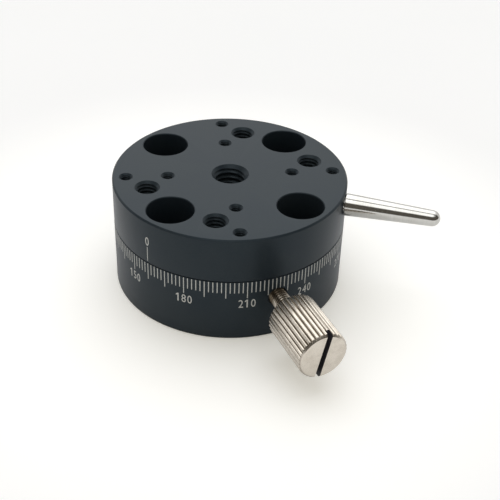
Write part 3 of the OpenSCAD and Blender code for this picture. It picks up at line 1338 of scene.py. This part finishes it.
@dataclass
class Table:
    """The rotating table, with its access holes and real threads."""

    sizes: StageSizes
    patterns: Patterns
    register_z: float = 12.5
    register_r: float = 9.42
    register_edge: float = 0.05
    rim_edge: float = 0.04
    centre: Thread = Thread(6.0, 1.0, 96)
    centre_break: float = 0.2
    platform: Thread = Thread(4.0, 0.7, 64)
    platform_x: float = 15.0
    platform_y: float = 25.0
    small: Thread = Thread(2.0, 0.4, 40)
    small_break: float = 0.18
    small_depth: float = 5.0
    small_squares: tuple[float, float] = (15.0, 25.0)
    rod_past: float = 0.3
    mouth_flat: float = 0.4
    hub_screw_r: float = 1.02
    hub_screw_circle_r: float = 4.88
    hub_screw_top: float = 15.9
    lever_hole_r: float = 1.52
    lever_hole_depth: float = 5.0
    lever_mouth: float = 0.42

    def _mouth(self, thread: Thread, extra: float) -> bpy.types.Object:
        """The countersink of a tapped hole, at the top face.

        Args:
            thread: The hole's thread.
            extra: How much deeper than the thread it is.

        Returns:
            The cutter.
        """
        top, r = self.sizes.top_z, thread.root_r
        depth = thread.depth + extra
        foot = top - depth - self.mouth_flat
        outline = [
            (0.0, foot),
            (r - self.mouth_flat, foot),
            (r + 2 * depth, top + depth),
            (0.0, top + depth),
        ]
        return turned("mouth", outline, segments=HOLE_FLATS)

    def _tap(self, table: bpy.types.Object) -> None:
        """Cuts the tapped holes, whose rods don't meet each other.

        Args:
            table: The table, which changes.
        """
        s = self.sizes
        p = self.patterns
        high = s.top_z + self.rod_past
        rods = [p.thread.rod("centre", self.centre, self.register_z - PAST, high)]
        mouths = [self._mouth(self.centre, self.centre_break)]
        sets = [(self.platform, s.hole_break, s.table_z - PAST, self.platform_x, self.platform_y)]
        for side in self.small_squares:
            sets.append((self.small, self.small_break, s.top_z - self.small_depth, side, side))
        for thread, extra, low, size_x, size_y in sets:
            rod = p.thread.rod("rod", thread, low, high)
            rods.append(p.corners.repeat("rods", rod, size_x, size_y))
            mouths.append(p.corners.repeat("mouths", self._mouth(thread, extra), size_x, size_y))
        combine(table, joined("rods", rods), Cut.TAKE_OFF)
        combine(table, joined("mouths", mouths), Cut.TAKE_OFF)

    def build(self) -> bpy.types.Object:
        """Turns the table and cuts its holes.

        Returns:
            The table.
        """
        s = self.sizes
        outline = rounded(
            [
                Corner(0.0, self.register_z),
                Corner(self.register_r, self.register_z),
                Corner(self.register_r, s.table_z, self.register_edge),
                Corner(s.radius, s.table_z, s.seam_edge),
                Corner(s.radius, s.top_z - s.top_chamfer, self.rim_edge),
                Corner(s.radius - s.top_chamfer, s.top_z, self.rim_edge),
                Corner(0.0, s.top_z),
            ]
        )
        table = turned("table_body", outline)
        access = hole("access", s.big_hole_r, s.table_z, s.top_z, s.hole_break, s.hole_break)
        screw = hole("screw", self.hub_screw_r, self.register_z - PAST, self.hub_screw_top)
        floor = s.radius - self.lever_hole_depth
        lever = hole("lever", self.lever_hole_r, floor, s.radius, high_break=self.lever_mouth)
        access.data.transform(Matrix.Translation((s.mount_circle_r * MM, 0.0, 0.0)))
        screw.data.transform(Matrix.Translation((self.hub_screw_circle_r * MM, 0.0, 0.0)))
        lever.data.transform(radial(s.lever_azimuth, s.lever_z))
        ring = self.patterns.ring
        plain = [ring.repeat("access", access, 4), ring.repeat("screws", screw, 3), lever]
        combine(table, joined("plain", plain), Cut.TAKE_OFF)
        self._tap(table)
        return table

    def dress(self, materials: Materials) -> None:
        """Builds the table and gives it its finish."""
        finish = [materials["anodised_table"]]
        finish_piece(self.build(), "turntable", finish, ["rotating_table"])


@dataclass
class TurningLever:
    """The lever: a tapered, polished rod with a round tip."""

    sizes: StageSizes
    root_r: float = 1.9
    tip_r: float = 1.365
    length: float = 16.0
    root_gap: float = 0.12
    root_edge: float = 0.12
    root_band: float = 0.4
    stub_r: float = 1.5
    stub_l: float = 4.7
    tip_steps: int = 14
    flats: int = 128

    def placement(self) -> Matrix:
        """Where the lever's axis lies."""
        return radial(self.sizes.lever_azimuth, self.sizes.lever_z)

    def build(self) -> bpy.types.Object:
        """Turns the lever.

        Returns:
            The lever.
        """
        r0 = self.sizes.radius
        root = r0 + self.root_gap
        tip_centre = r0 + self.length - self.tip_r
        outline = rounded(
            [
                Corner(0.0, r0 - self.stub_l),
                Corner(self.stub_r, r0 - self.stub_l),
                Corner(self.stub_r, root),
                Corner(self.root_r, root, self.root_edge),
                Corner(self.root_r, root + self.root_band),
            ]
        )
        lean = math.atan((self.root_r - self.tip_r) / (tip_centre - root))
        for i in range(self.tip_steps):
            angle = lean + (math.pi / 2 - lean) * i / self.tip_steps
            outline.append((self.tip_r * math.cos(angle), tip_centre + self.tip_r * math.sin(angle)))
        outline.append((0.0, tip_centre + self.tip_r))
        lever = turned("lever_rod", outline, segments=self.flats)
        lever.matrix_basis = self.placement()
        return lever

    def dress(self, materials: Materials) -> None:
        """Builds the lever and gives it its finish."""
        finish = [materials["lever_stainless"]]
        finish_piece(self.build(), "turntable", finish, ["lever"])


@dataclass
class ClampScrew:
    """The clamp screw: a threaded shank and a straight-knurled head with a slot."""

    sizes: StageSizes
    patterns: Patterns
    thread: Thread = Thread(3.0, 0.5, 48)
    shank_start: float = 12.25
    nose_r: float = 0.6
    nose_l: float = 1.2
    head_start: float = 25.0
    head_l: float = 11.0
    head_r: float = 4.15
    chamfer: float = 0.4
    edge: float = 0.08
    grooves: int = 34
    flats_a_groove: int = 8
    groove_depth: float = 0.26
    slot_w: float = 0.92
    slot_depth: float = 1.3
    slot_turn: float = -12.5
    near: float = 0.01

    @property
    def head_end(self) -> float:
        """Where the head ends, from the turning axis."""
        return self.head_start + self.head_l

    def placement(self) -> Matrix:
        """Where the screw's axis lies."""
        return radial(self.sizes.clamp_azimuth, self.sizes.clamp_z)

    def _groove(self) -> bpy.types.Object:
        """The cutter of one groove, whose shoulders flare so that the ridges are rounded.

        Returns:
            The cutter, upright along Z with its edge towards the axis.
        """
        r, d = self.head_r, self.groove_depth
        # from the groove's narrow floor to its wide mouth, in shares of its depth
        half = [(r - d, 0.02), (r - 0.35 * d, 0.44 * d), (r - 0.08 * d, 0.88 * d), (r + d, 2.1 * d)]
        section = [(x, -y) for x, y in half] + half[::-1]
        return prism("groove", section, self.head_start - PAST, self.head_end + PAST)

    def build(self) -> bpy.types.Object:
        """Turns the head, knurls and slots it, and adds the shank.

        Returns:
            The screw, with its mesh upright and its object in its place.
        """
        start, end = self.head_start, self.head_end
        inner_r = self.head_r - self.chamfer
        outline = rounded(
            [
                Corner(0.0, start),
                Corner(inner_r, start, self.edge),
                Corner(self.head_r, start + self.chamfer, self.edge),
                Corner(self.head_r, end - self.chamfer, self.edge),
                Corner(inner_r, end, self.edge),
                Corner(0.0, end),
            ],
            steps=3,
        )
        flats = self.flats_a_groove * self.grooves
        head = turned("clamp_body", outline, segments=flats, offset=0.5)
        combine(head, self.patterns.ring.repeat("knurl", self._groove(), self.grooves), Cut.TAKE_OFF)
        reach, half_w = self.head_r + PAST, self.slot_w / 2
        slot = block("slot", (-reach, -half_w, end - self.slot_depth), (reach, half_w, end + PAST))
        slot.data.transform(Matrix.Rotation(math.radians(self.slot_turn), 4, "Z"))
        combine(head, slot, Cut.TAKE_OFF)
        shank = self.patterns.thread.rod("shank", self.thread, self.shank_start, start + PAST)
        combine(head, shank, Cut.ADD)
        nose = hole("nose", self.nose_r, self.shank_start - self.nose_l, self.shank_start + PAST)
        combine(head, nose, Cut.ADD)
        head.matrix_basis = self.placement()
        return head

    def paint_slot(self, head: bpy.types.Object) -> None:
        """Gives the slot's walls and floor the head's second material, a near-black painted shade.

        Args:
            head: The screw, before it is placed.
        """
        turn = Matrix.Rotation(math.radians(-self.slot_turn), 3, "Z")
        floor = (self.head_end - self.slot_depth) * MM
        near = self.near * MM
        for face in head.data.polygons:
            centre = turn @ face.center
            if abs(centre.y) < self.slot_w / 2 * MM + near and centre.z > floor - near:
                level = abs(face.normal.z) > 0.9 and centre.z > floor + near
                face.material_index = 0 if level else 1

    def dress(self, materials: Materials) -> None:
        """Builds the screw and gives it its finish, and its slot a near-black painted shade.

        Args:
            materials: The materials by name.
        """
        screw = self.build()
        self.paint_slot(screw)
        finishes = [materials["knurled_nickel"], materials["slot_painted_shade"]]
        finish_piece(screw, "clamp", finishes, ["clamp_screw"])


@dataclass
class InnerParts:
    """The parts inside the stage, which keep their CAD shapes and get their finishes."""

    finishes: dict[str, tuple[str, ...]] = field(
        default_factory=lambda: {
            "anodised_base": ("bottom_cap",),
            "bearing_steel": ("bearing_outer_race", "bearing_inner_race", "bearing_balls"),
            "cage_nylon": ("bearing_cage",),
            "sheet_steel": ("shield_upper", "shield_lower", "snap_wire_upper", "snap_wire_lower"),
            "black_oxide_steel": ("bearing_lock_ring", "hub_screws"),
            "turned_steel": ("hub", "hub_clamp_plate", "plate_screws"),
            "shim_brass": ("bearing_shim",),
            "pad_brass": ("clamp_pad",),
        }
    )

    def dress(self, materials: Materials) -> None:
        """Gives every inner part its material.

        Args:
            materials: The materials by name.
        """
        for slot, nodes in self.finishes.items():
            for node in nodes:
                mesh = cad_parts[node].data
                mesh.materials.clear()
                mesh.materials.append(materials[slot])
                LOG.info("%s: %s", node, slot)


# --------------------------------------------------------------------------
# The studio
# --------------------------------------------------------------------------


@dataclass(frozen=True)
class Panel:
    """A round lamp panel, placed by degrees, with its reach from its middle and a soft edge."""

    azimuth: float
    elevation: float
    reach: float
    edge: float = 3.0

    @property
    def middle(self) -> Vector:
        """The direction of its middle."""
        a, e = math.radians(self.azimuth), math.radians(self.elevation)
        return Vector((math.cos(a) * math.cos(e), math.sin(a) * math.cos(e), math.sin(e)))

    def seen(self, g: Graph, towards: object) -> Term:
        """How much of the panel a direction meets.

        Args:
            g: The world's tree.
            towards: The direction that is looked up.

        Returns:
            1 on the panel and 0 off it.
        """
        sockets = {0: towards, 1: self.middle}
        node = g.node("ShaderNodeVectorMath", {"operation": "DOT_PRODUCT"}, sockets)
        outer, inner = (math.cos(math.radians(self.reach + side)) for side in (self.edge, -self.edge))
        return Term(g, node.outputs["Value"]).ramp(outer, inner)


@dataclass(frozen=True)
class Studio:
    """The floor, the lamp and the room that the stage reflects, and a painted pool of light on the
    floor round the stage.

    The room's wall is dark behind the camera and low down in the middle of the
    strip panel's side, and it is dimmer low down on the far side. Each of these
    zones is told by two ramps: one over how far a direction points ahead or
    across, and one over its height.
    """

    floor_half: float = 3000.0
    floor_z: float = -0.02
    floor_colour: Colour = (0.93, 0.935, 0.945)
    floor_cloud: Colour = (0.94, 0.943, 0.955)
    floor_cloud_size: float = 60.0
    floor_cloud_span: Span = (0.3, 0.7)
    floor_roughness: float = 0.85
    floor_ior: float = 1.3
    # the painted pool of light: a warm glow that the camera sees on the floor, full near the stage and
    # a fifth as strong far off
    floor_lift: Colour = (0.22, 0.21, 0.175)
    lift_far: float = 0.2
    pool_r: float = 36.0
    pool_fade: float = 2.1
    backdrop: Colour = (0.955, 0.955, 0.95)
    fill: Colour = (1.0, 0.975, 0.91)
    fill_strength: float = 0.63
    wall: Colour = (1.0, 1.0, 1.0)
    wall_strength: float = 0.85
    view_azimuth: float = 309.4
    dark_wall: Colour = (0.125, 0.115, 0.10)
    dark_ahead: Span = (-0.35, 0.1)
    dark_height: Span = (0.80, 0.70)
    gap_across: Span = (0.15, 0.08)
    gap_height: Span = (0.4, 0.7)
    gap_share: float = 0.8
    far_ahead: Span = (-0.3, -0.7)
    far_height: Span = (0.32, 0.1)
    far_share: float = 0.45
    overhead: Panel = Panel(140.0, 62.0, 37.5)
    overhead_strength: float = 0.95
    strip: Panel = Panel(294.7, 68.0, 18.0)
    strip_share: float = 0.8
    lamp_width: float = 75.0
    lamp_energy: float = 1.25
    lamp_colour: Colour = (0.96, 0.99, 1.06)

    def build(self) -> None:
        """Makes the floor, the room, the lamp and the camera."""
        bpy.context.scene.view_settings.view_transform = "Standard"
        self._floor()
        self._world()
        self._lamp()
        StudioCamera().build()

    def _floor(self) -> None:
        """Lays a pale floor under the stage, which glows for the camera most near the stage: a painted
        pool of light that lightens the stage's shadow.
        """
        far, z = self.floor_half, self.floor_z
        corners = [(-far, -far, z), (far, -far, z), (far, far, z), (-far, far, z)]
        floor = mesh_object("floor", corners, [(0, 1, 2, 3)])
        s = Surface("floor_paper")
        cloud = s.noise(s.place, self.floor_cloud_size)
        x, y, _ = s.split(s.place)
        seen = Term(s, s.node("ShaderNodeLightPath").outputs["Is Camera Ray"])
        # painted light: the floor glows for camera rays, most within the pool's radius, which lightens
        # and warms the stage's shadow
        near = s.length(x, y).ramp(self.pool_fade * self.pool_r * MM, self.pool_r * MM)
        painted_glow_mask = seen * (self.lift_far + (1.0 - self.lift_far) * near)
        s.set(
            Base_Color=s.blend(
                cloud.ramp(*self.floor_cloud_span), self.floor_colour, self.floor_cloud
            ),
            Roughness=self.floor_roughness,
            IOR=self.floor_ior,
            Emission_Color=s.blend(painted_glow_mask, (0.0, 0.0, 0.0), self.floor_lift),
            Emission_Strength=1.0,
        )
        floor.data.materials.append(s.material)

    def _world(self) -> None:
        """Lights the stage evenly from all round, with a darker room for reflections."""
        world = bpy.data.worlds.new("room")
        bpy.context.scene.world = world
        world.use_nodes = True
        g = Graph(world.node_tree)
        towards = g.node("ShaderNodeTexCoord").outputs["Generated"]
        x, y, z = g.split(towards)
        ahead = self._along(x, y, self.view_azimuth)
        across = self._along(x, y, self.strip.azimuth)
        dark = ahead.ramp(*self.dark_ahead) * z.ramp(*self.dark_height)
        gap = across.absolute().ramp(*self.gap_across) * z.ramp(*self.gap_height)
        far = ahead.ramp(*self.far_ahead) * z.ramp(*self.far_height)
        panels = self.overhead.seen(g, towards) + self.strip_share * self.strip.seen(g, towards)
        strength = self.wall_strength + self.overhead_strength * panels
        strength *= 1.0 - self.gap_share * gap
        strength *= 1.0 - self.far_share * far
        path = g.node("ShaderNodeLightPath").outputs
        light = self._glow(g, self.fill, self.fill_strength)
        reflected = self._glow(g, g.blend(dark, self.wall, self.dark_wall), strength)
        backdrop = self._glow(g, self.backdrop, 1.0)
        for ray, shown in (("Is Glossy Ray", reflected), ("Is Camera Ray", backdrop)):
            light = g.node("ShaderNodeMixShader", None, {0: path[ray], 1: light, 2: shown}).outputs[0]
        g.node("ShaderNodeOutputWorld", None, {0: light})

    @staticmethod
    def _along(x: Term, y: Term, azimuth: float) -> Term:
        """How far a direction points towards an azimuth, in degrees."""
        angle = math.radians(azimuth)
        return x * math.cos(angle) + y * math.sin(angle)

    @staticmethod
    def _glow(g: Graph, colour: object, strength: Number) -> bpy.types.NodeSocket:
        """The light of a Background node."""
        return g.node("ShaderNodeBackground", None, {"Color": colour, "Strength": strength}).outputs[0]

    def _lamp(self) -> None:
        """Hangs a wide soft lamp where the overhead panel is."""
        lamp = bpy.data.lights.new("overhead", "SUN")
        lamp.energy = self.lamp_energy
        lamp.angle = math.radians(self.lamp_width)
        lamp.color = self.lamp_colour
        made = placed("overhead", lamp)
        made.visible_glossy = False
        made.rotation_euler = self.overhead.middle.to_track_quat("Z", "Y").to_euler()


@dataclass(frozen=True)
class StudioCamera:
    """The camera, from its distance, its angles and where the stage's axis foot falls in the frame."""

    frame_px: float = 500.0
    focal_px: float = 1006.4
    distance: float = 182.93
    elevation: float = 36.508
    azimuth: float = 39.406
    roll: float = 1.16
    foot_x_px: float = 228.66
    foot_y_px: float = 267.01
    sensor_mm: float = 36.0

    def build(self) -> None:
        """Makes the camera and puts it in the scene."""
        e = math.radians(self.elevation)
        back = Vector((0.0, -math.cos(e), math.sin(e)))
        right = Vector((1.0, 0.0, 0.0))
        up = back.cross(right)
        middle = self.frame_px / 2
        pan = Matrix.Rotation(math.atan((self.foot_x_px - middle) / self.focal_px), 3, up)
        right = pan @ right
        ahead = pan @ -back
        tilt = Matrix.Rotation(math.atan((self.foot_y_px - middle) / self.focal_px), 3, right)
        ahead, up = tilt @ ahead, tilt @ up
        roll = math.radians(self.roll)
        level = math.cos(roll) * right + math.sin(roll) * up
        upright = -math.sin(roll) * right + math.cos(roll) * up
        turn = Matrix.Rotation(math.radians(self.azimuth), 4, "Z")
        axes = Matrix((level, upright, -ahead)).transposed().to_4x4()
        data = bpy.data.cameras.new("camera")
        data.sensor_width = self.sensor_mm
        data.lens = self.focal_px * self.sensor_mm / self.frame_px
        data.clip_start = 0.01
        camera = placed("camera", data)
        camera.matrix_world = turn @ Matrix.Translation(back * self.distance * MM) @ axes
        bpy.context.scene.camera = camera


# --------------------------------------------------------------------------
# The whole stage
# --------------------------------------------------------------------------


def make_materials(lever: TurningLever, clamp: ClampScrew) -> Materials:
    """Makes every material of the stage.

    Args:
        lever: The lever, for its axis.
        clamp: The clamp screw, for its axis and its knurl.

    Returns:
        The materials by name.
    """
    finishes = (
        AnodisedFinish("anodised_base"),
        AnodisedFinish("anodised_table"),
        PlasticFinish("scale_fill", (0.56, 0.56, 0.53), (0.40, 0.40, 0.38), 0.55, 0.1),
        MetalFinish("bearing_steel", (0.62, 0.63, 0.64), (0.50, 0.51, 0.52), 0.16, Lay.ROUND),
        PlasticFinish("cage_nylon", (0.78, 0.74, 0.60), (0.70, 0.66, 0.52), 0.45, 0.3),
        MetalFinish("sheet_steel", (0.52, 0.53, 0.55), (0.42, 0.43, 0.45)),
        MetalFinish("black_oxide_steel", (0.09, 0.09, 0.095), (0.05, 0.05, 0.055), 0.42),
        MetalFinish("turned_steel", (0.58, 0.59, 0.60), (0.44, 0.45, 0.46), lay=Lay.ROUND),
        MetalFinish("shim_brass", (0.75, 0.62, 0.33), (0.60, 0.47, 0.24)),
        MetalFinish(
            "pad_brass", (0.78, 0.62, 0.30), (0.60, 0.45, 0.21), lay=Lay.ROUND,
            placement=clamp.placement(),
        ),
        MetalFinish(
            "lever_stainless", (0.69, 0.68, 0.65), (0.58, 0.57, 0.53), 0.13, Lay.ROUND,
            mark_size=0.12, mark_depth=0.0008, placement=lever.placement(),
        ),
        KnurledNickelFinish(
            "knurled_nickel", clamp.placement(), clamp.head_r, clamp.head_r - clamp.groove_depth,
            clamp.head_start, clamp.head_end, clamp.chamfer, clamp.thread, clamp.sizes.radius,
        ),
        # near-black painted shade for the slot's walls and floor
        PlasticFinish("slot_painted_shade", (0.040, 0.037, 0.042), (0.026, 0.024, 0.027)),
    )
    return {finish.name: finish.make() for finish in finishes}


def main() -> None:
    """Builds the stage, piece by piece, and the studio round it."""
    logging.basicConfig(level=logging.INFO, format="%(name)s: %(message)s")
    sizes, patterns = StageSizes(), Patterns()
    Studio().build()
    lever, clamp = TurningLever(sizes), ClampScrew(sizes, patterns)
    materials = make_materials(lever, clamp)
    BaseRing(sizes, patterns).dress(materials)
    Table(sizes, patterns).dress(materials)
    Scale(sizes, patterns).dress(materials)
    lever.dress(materials)
    clamp.dress(materials)
    InnerParts().dress(materials)


if __name__ == "__main__":
    main()
